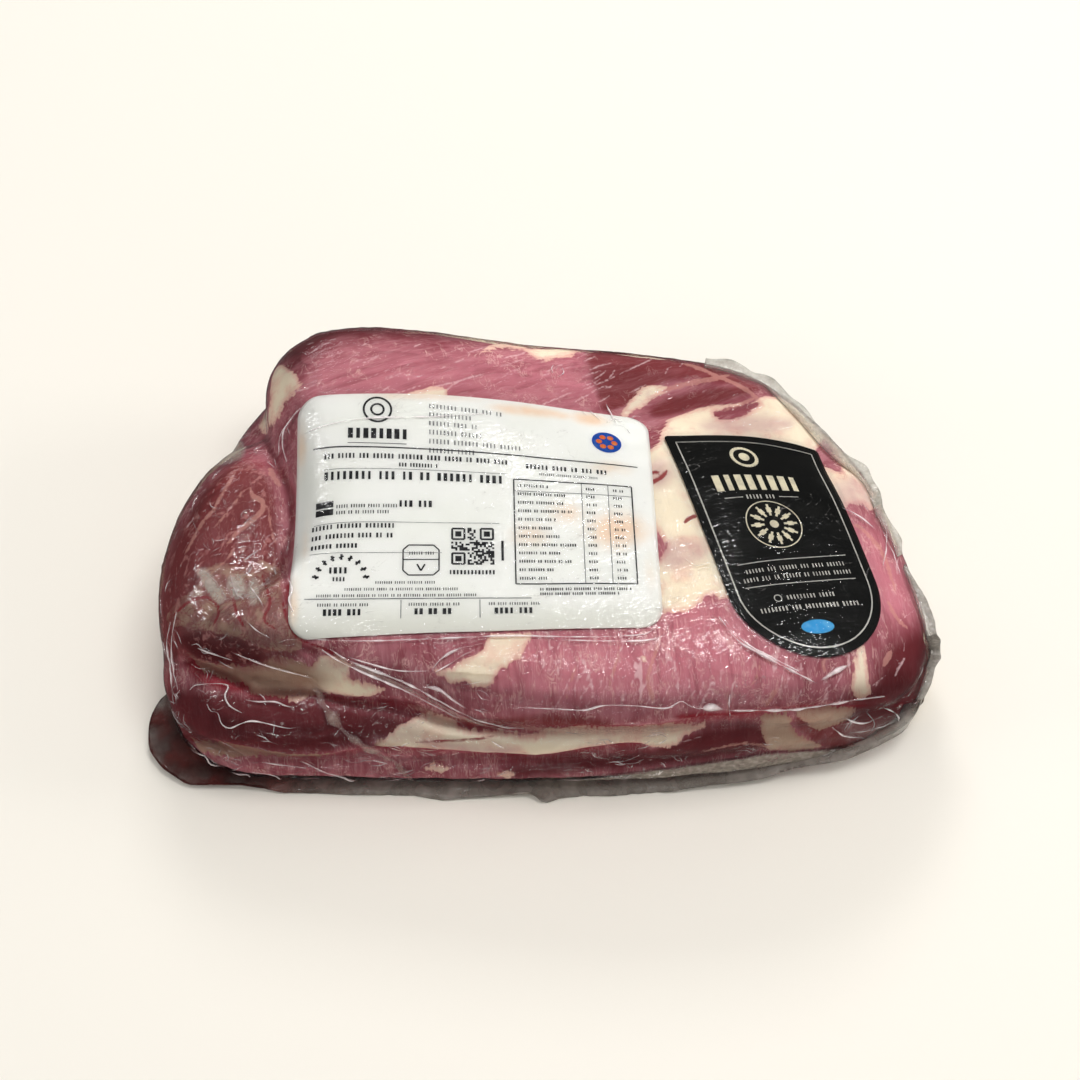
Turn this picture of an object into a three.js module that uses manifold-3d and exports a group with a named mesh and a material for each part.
// A raw beef rib cap, folded on itself and sealed in a clear vacuum bag, with a white and a black
// paper label under the film. Millimetres, +Z up. The origin is under the middle of the pack, on the
// surface that it lies on. +X runs along the pack to the right, and +Y from its front to its back.
//
// The meat is a flat muscle laid in folds. Each fold is a rounded slab: a plan outline with a
// bull-nosed rim all round it. The folds are pressed into each other, so that their union has the
// creases that the tight film follows. The surplus film stands off it as a thin skirt.
import * as THREE from "three";
import { mergeVertices } from "three/addons/utils/BufferGeometryUtils.js";
import Module from "manifold-3d";

const wasm = await Module();
wasm.setup();

// ---------------------------------------------------------------- driving dimensions
const LENGTH = 284; // the meat from left to right
const DEPTH = 170; // the meat from front to back
const HEIGHT = 66; // the floor to the flat of the top fold, without its hills

const THIN_END = { from: 60, to: 150, share: 0.28 }; // the right end thins out along X, by this share

const AROUND = 60; // facets round a fold
const TOP_ROWS = 9; // rings of facets from the middle of a fold to its rim
const NOSE_ROWS = 8; // rings down the rim
const BASE_ROWS = 1; // rings under the fold, back to its middle
const DOME_SHARE = 0.94; // the most of the way to the middle that a rim's rounding takes

const FILM_THICK = 1.6; // the skirt: both films with the juice between them
const SKIRT_OUT = 4; // how far it stands out of the meat where nothing pulls it
const SKIRT_TATTER = 1.0; // how uneven its edge is
const SKIRT_MIDDLE = 5; // its height inside the meat, out of sight
const SKIRT_AROUND = 90;
const SKIRT_ROWS = 2; // rings on either side of it

const LABEL_THICK = 0.5; // paper and glue, thick enough to be a solid
const LABEL_GAP = 0.5; // between a label and the pack that it lies on
const LABEL_STEP = 7.5; // length of a facet along a label's edge
const LABEL_RINGS = 7; // rings of facets from a label's middle to its edge
const LABEL_STIFF = 3; // the paper bridges whatever is narrower than twice this
const WHITE_LABEL = { size: [133, 100], head: 8, foot: 8, middle: [-27, -6], turn: 1.5, skew: 3 };
const BLACK_LABEL = { size: [58, 100], head: 1.5, foot: 29, middle: [87, -13], turn: 15, skew: 15 };

// Plan outlines, as shares of half the length and half the depth, counter-clockwise from the right.
const PACK_OUTLINE = [
  [1.0, -0.45], [0.95, -0.05], [0.88, 0.3], [0.77, 0.62], [0.6, 0.88], [0.3, 1.0], [-0.05, 1.04],
  [-0.4, 1.08], [-0.68, 1.06], [-0.83, 0.8], [-0.92, 0.45], [-0.99, 0.05], [-1.01, -0.4],
  [-0.98, -0.75], [-0.86, -0.93], [-0.5, -0.98], [0.0, -0.99], [0.45, -0.94], [0.78, -0.84], [0.95, -0.7],
];
// The top fold leaves a bay on its left, where the turned end of the muscle comes up beside it, and
// it lies back from the rim at the front left.
const TOP_OUTLINE = [
  [0.97, -0.4], [0.91, 0.1], [0.81, 0.5], [0.62, 0.84], [0.3, 0.99], [-0.1, 1.04], [-0.45, 1.1],
  [-0.68, 1.06], [-0.78, 0.84], [-0.76, 0.5], [-0.71, 0.12], [-0.7, -0.2], [-0.76, -0.42],
  [-0.92, -0.6], [-0.6, -0.78], [-0.25, -0.91], [0.05, -0.98], [0.4, -0.96], [0.75, -0.87], [0.93, -0.7],
];
const TURNED_END = { middle: [-118, -8], half: [26, 54], turn: -9 };

// Hills and hollows of the top fold: middle in plan, spread along and across, turn, height.
const TOP_RELIEF = [
  { at: [-62, 46], spread: [75, 42], turn: -8, height: 10 }, // the thick end, at the back left
  { at: [44, 56], spread: [50, 30], turn: -8, height: -9 }, // the back right falls away
  { at: [100, 52], spread: [30, 12], turn: -20, height: 6 }, // fat ridge behind the black label
  { at: [110, 30], spread: [22, 16], turn: -20, height: -7 }, // hollow where its corner is drawn in
  { at: [46, -4], spread: [12, 46], turn: 8, height: -2 }, // hollow between the two labels
];

// Where the surplus film is pulled out or up: degrees round from +X, spread, and how far.
const SKIRT_PULLS = [
  { at: 203, spread: 12, out: 8, lift: 3 }, // the bag's tail, at the front left
  { at: 345, spread: 22, out: 2, lift: 14 }, // a fin at the right end
  { at: 45, spread: 30, out: 3, lift: 24 }, // the seam that curls up behind the right end
  { at: 120, spread: 40, out: -3, lift: 16 }, // drawn in close behind
  { at: 271, spread: 5, out: 2, lift: 0 }, // the corner that lies flat in front
];

// ---------------------------------------------------------------- outlines
const radians = THREE.MathUtils.degToRad;
const bell = (distance) => Math.exp(-distance * distance);
const level = (p) => new THREE.Vector3(p.x, p.y, 0);

function outlineOf(shares, count) {
  const points = shares.map(([x, y]) => new THREE.Vector3((x * LENGTH) / 2, (y * DEPTH) / 2, 0));
  const curve = new THREE.CatmullRomCurve3(points, true, "centripetal");
  return curve.getSpacedPoints(count).slice(0, count);
}

function oval({ middle, half, turn }, count) {
  const curve = new THREE.EllipseCurve(...middle, ...half, 0, 2 * Math.PI, false, radians(turn));
  return curve.getSpacedPoints(count).slice(0, count).map(level);
}

// Straight sides, with one corner radius at the head of the label and another at its foot. A crease
// skews the head: it draws the right corner in, and the left one out, by half the skew.
function labelOutline({ size, head, foot, middle, turn, skew }) {
  const [x, y] = [size[0] / 2, size[1] / 2];
  const quarter = Math.PI / 2;
  const skewed = (p) => p.setY(p.y - ((skew * p.x) / size[0]) * Math.max(p.y / y, 0));
  const shape = new THREE.Shape()
    .absarc(x - head, y - head, head, 0, quarter)
    .absarc(head - x, y - head, head, quarter, 2 * quarter)
    .absarc(foot - x, foot - y, foot, 2 * quarter, 3 * quarter)
    .absarc(x - foot, foot - y, foot, 3 * quarter, 4 * quarter)
    .lineTo(x, y - head);
  const facets = (side) => Math.max(1, Math.round(side.getLength() / LABEL_STEP));
  return shape.curves
    .flatMap((side) => side.getSpacedPoints(facets(side)).slice(0, -1))
    .map((p) => skewed(level(p)).applyAxisAngle(new THREE.Vector3(0, 0, 1), radians(turn)))
    .map((p) => p.add(new THREE.Vector3(...middle, 0)));
}

function middleOf(points) {
  return points.reduce((sum, p) => sum.add(p), new THREE.Vector3()).divideScalar(points.length);
}

// ---------------------------------------------------------------- closed shapes
function closed(geometry) {
  geometry.deleteAttribute("normal");
  geometry.deleteAttribute("uv");
  return mergeVertices(geometry, 1e-4);
}

// A sphere's grid pulled into shape: a meridian for each point of the outline, and a parallel for
// each step of the section, which runs from above the middle over the rim to below the middle.
function lofted(outline, section) {
  const around = outline.length;
  const middle = middleOf(outline);
  const geometry = new THREE.SphereGeometry(1, around, section.length - 1);
  const position = geometry.getAttribute("position");
  section.forEach((place, row) => {
    for (let column = 0; column <= around; column++) {
      const p = place(outline[column % around], middle);
      position.setXYZ(row * (around + 1) + column, p.x, p.y, p.z);
    }
  });
  return closed(geometry);
}

// A sheet in rings round its middle, the same above and below, so that it can follow any surface.
function sheet(outline, place) {
  const around = outline.length;
  const middle = middleOf(outline);
  const half = 1 + LABEL_RINGS * around; // vertices on one face
  const points = [LABEL_GAP + LABEL_THICK, LABEL_GAP].flatMap((lift) => [
    place(middle, lift),
    ...Array.from({ length: LABEL_RINGS }, (_, ring) => (ring + 1) / LABEL_RINGS).flatMap((share) =>
      outline.map((rim) => place(middle.clone().lerp(rim, share), lift))),
  ]);
  const at = (ring, column) => 1 + ring * around + (column % around);
  const faces = [];
  for (let column = 0; column < around; column++) {
    faces.push([0, at(0, column), at(0, column + 1)]);
    for (let ring = 0; ring < LABEL_RINGS - 1; ring++) {
      faces.push([at(ring, column), at(ring + 1, column), at(ring + 1, column + 1)]);
      faces.push([at(ring, column), at(ring + 1, column + 1), at(ring, column + 1)]);
    }
  }
  const under = faces.map(([a, b, c]) => [a + half, c + half, b + half]);
  const edge = outline.flatMap((_, column) => {
    const [a, b] = [at(LABEL_RINGS - 1, column), at(LABEL_RINGS - 1, column + 1)];
    return [[a, a + half, b + half], [a, b + half, b]];
  });
  return new THREE.BufferGeometry().setFromPoints(points).setIndex([...faces, ...under, ...edge].flat());
}

function solidOf(geometry) {
  return new wasm.Manifold(new wasm.Mesh({
    numProp: 3,
    vertProperties: new Float32Array(geometry.getAttribute("position").array),
    triVerts: new Uint32Array(geometry.index.array),
  }));
}

function geometryOf(solid) {
  const mesh = solid.getMesh();
  return new THREE.BufferGeometry()
    .setAttribute("position", new THREE.BufferAttribute(mesh.vertProperties, 3))
    .setIndex(new THREE.BufferAttribute(mesh.triVerts, 1));
}

// ---------------------------------------------------------------- the meat
function topRelief(x, y) {
  return TOP_RELIEF.reduce((sum, { at, spread, turn, height }) => {
    const offset = new THREE.Vector2(x - at[0], y - at[1]).rotateAround(new THREE.Vector2(), -radians(turn));
    return sum + height * bell(Math.hypot(offset.x / spread[0], offset.y / spread[1]));
  }, 0);
}

// low and high bound the fold, and nose is how far in from its rim the rounding reaches: a nose
// longer than the way to the middle makes a dome.
function fold(outline, { low, high, nose, relief = () => 0 }) {
  const shares = (rows) => Array.from({ length: rows }, (_, row) => row / rows);
  const noseShare = (rim, middle) => Math.min(nose / rim.distanceTo(middle), DOME_SHARE);
  const raised = (p, rise) => { // rise runs from -1, underneath, to 1, on top
    const thinned = 1 - THIN_END.share * THREE.MathUtils.smoothstep(p.x, THIN_END.from, THIN_END.to);
    const z = THREE.MathUtils.lerp(low, high, (1 + rise) / 2) + Math.max(rise, 0) * relief(p.x, p.y);
    return p.setZ(z * thinned);
  };
  const onFlat = (share, side) => (rim, middle) =>
    raised(middle.clone().lerp(rim, share * (1 - noseShare(rim, middle))), side);
  const onNose = (angle) => (rim, middle) =>
    raised(middle.clone().lerp(rim, 1 - noseShare(rim, middle) * (1 - Math.cos(angle))), Math.sin(angle));
  return solidOf(lofted(outline, [
    ...shares(TOP_ROWS).map((share) => onFlat(share, 1)),
    ...shares(NOSE_ROWS).map((share) => onNose(Math.PI * (0.5 - share))),
    ...shares(BASE_ROWS).map((share) => onFlat(1 - share, -1)),
    onFlat(0, -1),
  ]));
}

// ---------------------------------------------------------------- the surplus film
function pulled(angle, what) {
  return SKIRT_PULLS.reduce((sum, pull) => {
    const away = THREE.MathUtils.euclideanModulo(angle - pull.at + 180, 360) - 180;
    return sum + pull[what] * bell(away / pull.spread);
  }, 0);
}

const tatter = (angle) => SKIRT_TATTER * (Math.sin(radians(angle * 7) + 1) + 0.7 * Math.sin(radians(angle * 19)));

function skirt(outline) {
  const place = (share, side) => (rim, middle) => {
    const out = rim.clone().sub(middle);
    const angle = THREE.MathUtils.radToDeg(Math.atan2(out.y, out.x));
    const reach = out.length() + SKIRT_OUT + pulled(angle, "out") + tatter(angle);
    const edge = FILM_THICK / 2 + pulled(angle, "lift");
    const p = middle.clone().addScaledVector(out.normalize(), share * reach);
    return p.setZ(THREE.MathUtils.lerp(SKIRT_MIDDLE, edge, share) + (side * FILM_THICK) / 2);
  };
  const shares = Array.from({ length: SKIRT_ROWS + 1 }, (_, row) => row / SKIRT_ROWS);
  return solidOf(lofted(outline, [
    ...shares.map((share) => place(share, 1)),
    ...shares.toReversed().map((share) => place(share, -1)),
  ]));
}

// ---------------------------------------------------------------- the pack and its labels
const topFold = fold(outlineOf(TOP_OUTLINE, AROUND), { low: 28, high: HEIGHT, nose: 26, relief: topRelief });
const turnedEnd = fold(oval(TURNED_END, AROUND), { low: 14, high: 64, nose: LENGTH });
const middleFold = fold(outlineOf(PACK_OUTLINE, AROUND), { low: 12, high: 42, nose: 18 });
const bottomFold = fold(outlineOf(PACK_OUTLINE, AROUND), { low: 0, high: 20, nose: 12 });
const film = skirt(outlineOf(PACK_OUTLINE, SKIRT_AROUND));
const packGeometry = geometryOf([turnedEnd, middleFold, bottomFold, film].reduce((a, b) => a.add(b), topFold));

function piece(name, geometry, color, roughness) {
  const mesh = new THREE.Mesh(geometry, new THREE.MeshStandardMaterial({ color, roughness, metalness: 0 }));
  mesh.name = name;
  return mesh;
}

const pack = piece("vacuum_pack", packGeometry, 0xa0656a, 0.25);
const probe = new THREE.Raycaster();

function packHeight(x, y) {
  probe.set(new THREE.Vector3(x, y, 2 * HEIGHT), new THREE.Vector3(0, 0, -1));
  return probe.intersectObject(pack)[0].point.z;
}

function ontoPack(p, lift) {
  const near = [[0, 0], [LABEL_STIFF, 0], [-LABEL_STIFF, 0], [0, LABEL_STIFF], [0, -LABEL_STIFF]];
  return p.clone().setZ(lift + Math.max(...near.map(([x, y]) => packHeight(p.x + x, p.y + y))));
}

const whiteLabel = piece("white_label", sheet(labelOutline(WHITE_LABEL), ontoPack), 0xf4f3ef, 0.5);
const blackLabel = piece("black_label", sheet(labelOutline(BLACK_LABEL), ontoPack), 0x2b2a2a, 0.5);

const ribCap = new THREE.Group();
ribCap.add(pack, whiteLabel, blackLabel);
const middle = new THREE.Box3().setFromObject(ribCap).getCenter(new THREE.Vector3());
ribCap.position.set(-middle.x, -middle.y, 0);

export default ribCap;
